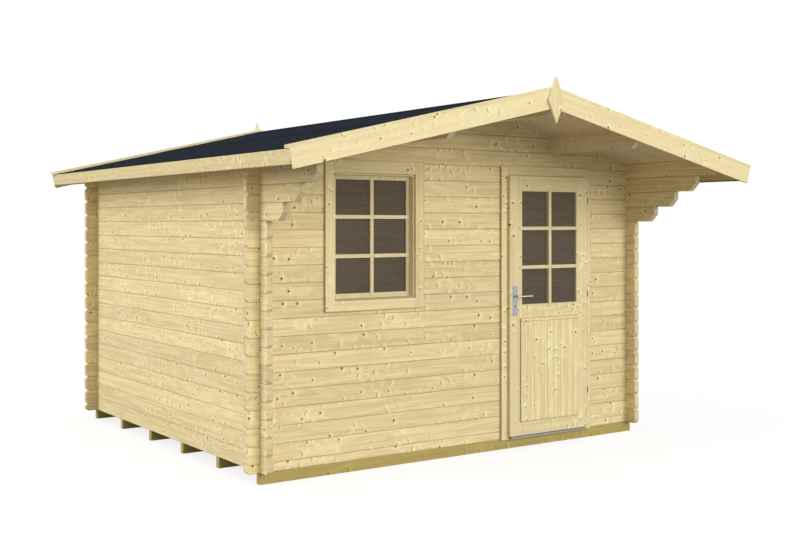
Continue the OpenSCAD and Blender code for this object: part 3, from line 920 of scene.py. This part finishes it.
def floor_planks():
    """Boards from front to back, with eased upper edges."""
    half_gap = 0.0003
    half = floor_board_pitch / 2 - half_gap
    edge = 0.0012
    top = floor_high.z
    first = floor_low.x + floor_board_pitch / 2
    profile = [
        (-half, floor_low.z), (half, floor_low.z), (half, top - edge), (half - edge, top),
        (edge - half, top), (-half, top - edge),
    ]
    ends = [[(first + x, y, z) for x, z in profile] for y in (floor_low.y, floor_high.y)]
    plank = outward(drawn_out("floor_plank_seed", *ends))
    layout = laid_side_by_side("Y", "X", "Z", floor_board_pitch, floor_low.x, salt=150.0)
    piece = grown("floor_planks", plank, board_run, {
        "Count": floor_board_count,
        "Step": (floor_board_pitch, 0.0, 0.0),
        "Material": pine("floor_pine", layout, board_pale, board_late),
    })
    settle(piece, "shed", "board_pine", "floor_boards")


roof_planks("roof_planks_left", -1, "left_roof_boards", salt=120.0)
roof_planks("roof_planks_right", 1, "right_roof_boards", salt=170.0)
floor_planks()


# ---- felt laps -----------------------------------------------------------
# A reach is a distance down the slope from the ridge.

off_cover = 0.002
cover_inner_front = high("front_left_cover").y + off_cover
cover_inner_back = low("back_left_cover").y - off_cover
felt_sheet = 0.0016
felt_clearance = 0.0002
lap_reach = 1.03
ridge_cap_reach = 0.17


def on_roof(side, down_slope, lift):
    """X and Z of a point on the felt, a distance from the ridge and above the felt."""
    x = down_slope * math.cos(pitch_angle)
    return side * x, ridge_top - x * rise + lift / math.cos(pitch_angle)


def felt_sheets():
    """The upper run of felt on each slope, lapped over the lower, and the ridge's cap."""
    points = []
    faces = []
    for reach, base in (
        (lap_reach, felt_clearance), (ridge_cap_reach, felt_clearance + felt_sheet),
    ):
        outline = [
            on_roof(-1, reach, base), on_roof(-1, 0.0, base), on_roof(1, reach, base),
            on_roof(1, reach, base + felt_sheet), on_roof(1, 0.0, base + felt_sheet),
            on_roof(-1, reach, base + felt_sheet),
        ]
        first = len(points)
        count = len(outline)
        for y in (cover_inner_front, cover_inner_back):
            points += [(x, y, z) for x, z in outline]
        faces.append(tuple(first + i for i in range(count)))
        faces.append(tuple(first + count + i for i in reversed(range(count))))
        for i in range(count):
            j = (i + 1) % count
            faces.append((first + j, first + i, first + i + count, first + j + count))
    piece = outward(shape("felt_laps", points, faces))
    piece.data.materials.append(roof_felt)
    settle(piece, "shed", "roofing_felt")


felt_sheets()


# ---- nails and screws ----------------------------------------------------

barge_nail_x = (0.16, 0.52, 0.801, 1.25, 1.63, 1.88)
barge_nail_drops = (0.030, 0.082)
cover_nail_x = (0.12, 0.5, 0.9, 1.3, 1.7, 1.9)
finial_nail_drops = (0.14, 0.19)
felt_nail_rows = ((1.005, felt_sheet), (0.15, 2 * felt_sheet), (1.975, 0.0))
outwards_front = (0.0, -1.0, 0.0)
outwards_back = (0.0, 1.0, 0.0)


def ring_points(radius, height, sides):
    return [
        (radius * math.cos(2 * math.pi * i / sides),
         radius * math.sin(2 * math.pi * i / sides), height)
        for i in range(sides)
    ]


def nail_head(radius, proud):
    """A flat round head with a chamfered edge."""
    sides = 10
    return outward(drawn_out(
        "nail_head", ring_points(radius, -proud, sides), ring_points(radius, proud * 0.4, sides),
        ring_points(radius * 0.8, proud, sides),
    ))


def screw_head(radius, proud):
    """A countersunk head with a cross-shaped recess."""
    sides = 12
    arm = radius * 0.62
    inner = radius * 0.16
    cross = []
    for i in range(sides):
        reach = arm if i % 3 == 0 else inner * 1.5
        angle = 2 * math.pi * i / sides
        cross.append((reach * math.cos(angle), reach * math.sin(angle), proud))
    sunk = [(x * 0.7, y * 0.7, -2.5 * proud) for x, y, z in cross]
    return drawn_out(
        "screw_head", ring_points(radius, -proud, sides), ring_points(radius, proud, sides),
        cross, sunk,
    )


def fixings(name, body, slot, head, places, material=nail_metal):
    """One mesh of all the heads at these places, each a point and a direction."""
    seed_of_turns = 5
    seeds = shape(name + "_seed", [p for p, way in places], [])
    facing = seeds.data.attributes.new("facing", "FLOAT_VECTOR", "POINT")
    for item, (point, way) in zip(facing.data, places):
        item.vector = way
    values = {"Head": head, "Seed": seed_of_turns, "Material": material}
    piece = grown(name, seeds, fixing_set, values)
    bpy.data.objects.remove(head)
    settle(piece, body, slot)


def spread(start, end, count):
    """Points at even steps from the start to the end."""
    start = Vector(start)
    end = Vector(end)
    return [start.lerp(end, i / (count - 1)) for i in range(count)]


def out_of_slope(hand):
    """The direction straight out of the left or the right slope."""
    return (hand * math.sin(pitch_angle), 0.0, math.cos(pitch_angle))


def gable_nails(end, way, outer):
    """Nails at one end; outer is low or high, whichever corner of a box faces out."""
    sunk = 0.0004
    face = outer(end + "_left_barge").y
    tip = outer(end + "_finial").y - way[1] * sunk
    strip = middle(end + "_left_cover").y
    strip_top = high("front_left_cover").z
    places = []
    for hand in (-1, 1):
        for x in barge_nail_x:
            for drop in barge_nail_drops:
                places.append(((hand * x, face, ridge_top - x * rise - drop), way))
        for x in cover_nail_x:
            places.append(((hand * x, strip, strip_top - x * rise), out_of_slope(hand)))
    for drop in finial_nail_drops:
        places.append(((0.0, tip, high(end + "_finial").z - drop), way))
    return places


def eave_nails():
    """Nails along both eave boards."""
    from_top = 0.012
    from_end = 0.06
    places = []
    for hand, node in ((-1, "left_eave_board"), (1, "right_eave_board")):
        face = low(node).x if hand < 0 else high(node).x
        z = high(node).z - from_top
        row = spread((face, roof_front + from_end, z), (face, roof_back - from_end, z), 14)
        places += [(spot, (hand, 0.0, 0.0)) for spot in row]
    return places


def floor_nails():
    """Two nails in each floor board over each bearer in the room."""
    off_middle = 0.025
    places = []
    for i in range(floor_board_count):
        x = floor_low.x + floor_board_pitch * (i + 0.5)
        for row in range(bearer_count):
            y = low("floor_bearers").y + bearer_half + row * bearer_pitch
            if floor_low.y < y < floor_high.y:
                for off in (-off_middle, off_middle):
                    places.append(((x + off, y, floor_high.z), (0.0, 0.0, 1.0)))
    return places


def trim_nails():
    """Nails in the barge boards, cover strips, finials, eave boards and floor."""
    places = gable_nails("front", outwards_front, low) + gable_nails("back", outwards_back, high)
    places += eave_nails() + floor_nails()
    head = nail_head(radius=0.0027, proud=0.0003)
    fixings("trim_nails", "shed", "hinge_bronze", head, places)


def felt_nails():
    """Broad-headed nails along the felt's laps and edges."""
    from_end = 0.04
    places = []
    for side in (-1, 1):
        for down_slope, lift in felt_nail_rows:
            x, z = on_roof(side, down_slope, lift)
            row = spread(
                (x, cover_inner_front + from_end, z), (x, cover_inner_back - from_end, z), 28,
            )
            places += [(spot, out_of_slope(side)) for spot in row]
    head = nail_head(radius=0.0045, proud=0.0006)
    fixings("felt_nails", "shed", "roofing_felt", head, places, roof_felt)


def casing_screws():
    """Screws in the casings, outside and inside."""
    inset = 0.036
    above_floor = 0.09
    lower_inside = 0.02
    places = []
    for node, count in (("window_casing", 4), ("door_casing", 5)):
        lowest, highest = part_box(node)
        foot = max(lowest.z, above_floor) + inset
        for y, way in ((lowest.y, outwards_front), (highest.y, outwards_back)):
            inside = way == outwards_back
            top = highest.z - inset - (lower_inside if inside else 0.0)
            for x in (lowest.x + inset, highest.x - inset):
                if node == "door_casing" and not inside:
                    x += inset if x < door_x else -inset
                places += [(spot, way) for spot in spread((x, y, foot), (x, y, top), count)]
    head = screw_head(radius=0.0036, proud=0.0003)
    fixings("casing_screws", "shed", "hinge_bronze", head, places)


def boarding_nails():
    """Nails at the head, the middle and the foot of each board of the door."""
    behind_cap = 0.003
    below_cap = 0.045
    above_foot = 0.022
    face = low("door_boarding").y + behind_cap
    top = high("door_boarding").z - below_cap
    foot = boarding_foot + above_foot
    places = []
    for i in range(boarding_count):
        x = door_x - boarding_half + boarding_pitch * (i + 0.5)
        for z in (foot, (foot + top) / 2, top):
            places.append(((x, face, z), outwards_front))
    head = nail_head(radius=0.0018, proud=0.0002)
    fixings("boarding_nails", "door", "hinge_bronze", head, places)


def plate_screws():
    """Screws at both ends of the handle's plates."""
    from_end = 0.012
    lowest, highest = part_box("handle_plates")
    x = (lowest.x + highest.x) / 2
    places = []
    for z in (lowest.z + from_end, highest.z - from_end):
        places.append(((x, lowest.y, z), outwards_front))
        places.append(((x, highest.y, z), outwards_back))
    head = screw_head(radius=0.0034, proud=0.0005)
    fixings("plate_screws", "door", "handle_metal", head, places, lock_metal)


trim_nails()
felt_nails()
casing_screws()
boarding_nails()
plate_screws()


# ---- lock ----------------------------------------------------------------

def plate(name, low_corner, high_corner, edge, material, body):
    """A thin plate with its corners cut off."""
    size = [h - l for l, h in zip(low_corner, high_corner)]
    thin = size.index(min(size))
    wide = [i for i in range(3) if i != thin]
    outline = []
    for ups in ((0, 0), (1, 0), (1, 1), (0, 1)):
        steps = ((edge, 0), (0, edge)) if sum(ups) % 2 else ((0, edge), (edge, 0))
        for step in steps:
            outline.append([
                high_corner[i] - s if up else low_corner[i] + s
                for i, up, s in zip(wide, ups, step)
            ])
    ends = []
    for level in (low_corner[thin], high_corner[thin]):
        points = []
        for a, b in outline:
            point = [level, level, level]
            point[wide[0]] = a
            point[wide[1]] = b
            points.append(point)
        ends.append(points)
    piece = outward(drawn_out(name, *ends))
    piece.data.materials.append(material)
    settle(piece, body, "handle_metal")


def lock_parts():
    """Faceplate on the door's edge, strike on the jamb, and painted shade plates for the dark of
    the keyholes.
    """
    leaf_lap = 0.018
    from_back = 0.0115
    jamb_gap = 0.006
    proud = 0.0003
    sunk = 0.0012
    lever_z = middle("handle_lever").z
    edge_x = low("door_leaf").x + leaf_lap
    jamb_x = edge_x - jamb_gap
    leaf_back = high("door_leaf").y
    y = leaf_back - from_back

    def edge_plate(name, left, right, half, down, up, body):
        """A plate let into an edge that faces sideways, from below the lever to above it."""
        plate(
            name, (left, y - half, lever_z - down), (right, y + half, lever_z + up),
            edge=0.003, material=lock_metal, body=body,
        )

    edge_plate("lock_faceplate", edge_x - sunk, edge_x + proud, 0.009, 0.15, 0.065, "door")
    edge_plate("strike_plate", jamb_x - proud, jamb_x + sunk, 0.010, 0.13, 0.045, "shed")

    key_below_lever = 0.072
    key_half = 0.007
    key_down = 0.016
    key_up = 0.007
    key_thick = 0.0002
    off_leaf = 0.0004
    lowest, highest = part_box("handle_plates")
    x = (lowest.x + highest.x) / 2
    z = lever_z - key_below_lever
    # Thin dark plates stand in for the shade inside the keyholes: painted shade.
    dark = keyhole_painted_shade("keyhole_painted_shade")
    for name, face in (
        ("keyway_outer", door_front - off_leaf), ("keyway_inner", leaf_back + off_leaf),
    ):
        plate(
            name, (x - key_half, face, z - key_down), (x + key_half, face + key_thick, z + key_up),
            edge=0.002, material=dark, body="door",
        )


lock_parts()


# ---- floor, backdrop and lights ------------------------------------------

def seen_directly(net):
    """1 where the eye, a gloss or a pane looks straight at a surface."""
    path = net.add("ShaderNodeLightPath", None, None, "Is Camera Ray")
    return net.more(path, net.more(path.out("Is Glossy Ray"), path.out("Is Transmission Ray")))


def ground():
    """The white floor that the shed stands on."""
    reach = 40.0
    corners = [
        (-reach, -reach, 0.0), (reach, -reach, 0.0), (reach, reach, 0.0), (-reach, reach, 0.0),
    ]
    floor = shape("ground", corners, [(0, 1, 2, 3)])
    finish = bpy.data.materials.new("ground_white")
    finish.use_nodes = True
    finish.node_tree.nodes.clear()
    net = Net(finish.node_tree)
    grain = net.noise(net.spot(), 40.0, 2.0)
    white = net.mix(grain, colour(0.29, 0.29, 0.29), colour(0.31, 0.31, 0.31))
    matt = net.add("ShaderNodeBsdfDiffuse", None, {"Color": white}, "BSDF")
    glow = net.add("ShaderNodeEmission", None, {"Strength": seen_directly(net) * 0.78}, "Emission")
    both = net.add("ShaderNodeAddShader", None, {0: matt, 1: glow}, "Shader")
    net.add("ShaderNodeOutputMaterial", None, {"Surface": both})
    floor.data.materials.append(finish)


def sky():
    """A white backdrop that lights the shed a little less strongly than it looks."""
    world = bpy.data.worlds.new("studio")
    world.use_nodes = True
    world.node_tree.nodes.clear()
    net = Net(world.node_tree)
    light = net.add(
        "ShaderNodeBackground", None, {"Color": colour(0.96, 1.02, 1.07), "Strength": 0.60},
        "Background",
    )
    white = net.add(
        "ShaderNodeBackground", None, {"Color": colour(1.0, 1.0, 1.0), "Strength": 1.0},
        "Background",
    )
    both = net.add(
        "ShaderNodeMixShader", None, {"Fac": seen_directly(net), 1: light, 2: white}, "Shader",
    )
    net.add("ShaderNodeOutputWorld", None, {"Surface": both})
    bpy.context.scene.world = world


def lamp(name, strength, turn, tilt):
    """A broad soft light from far away."""
    light = bpy.data.lights.new(name, "SUN")
    light.energy = strength
    light.angle = math.radians(40)
    light.color = (1.0, 0.955, 0.85)
    holder = bpy.data.objects.new(name, light)
    holder.rotation_euler = (math.radians(tilt), 0.0, math.radians(turn))
    put_in_scene(holder)


def room_lamp(strength):
    """A dim soft lamp in the room, so that it isn't black behind its panes."""
    light = bpy.data.lights.new("room_lamp", "POINT")
    light.energy = strength
    light.shadow_soft_size = 0.6
    light.color = (0.95, 0.98, 1.05)
    holder = bpy.data.objects.new("room_lamp", light)
    holder.location = (0.0, middle("floor_boards").y, 1.5)
    holder.visible_camera = False
    holder.visible_glossy = False
    put_in_scene(holder)


ground()
sky()
lamp("side_light", strength=1.81, turn=-110.0, tilt=73.0)
lamp("front_light", strength=1.75, turn=16.0, tilt=75.0)
room_lamp(strength=8.0)
bpy.context.scene.view_settings.view_transform = "Standard"
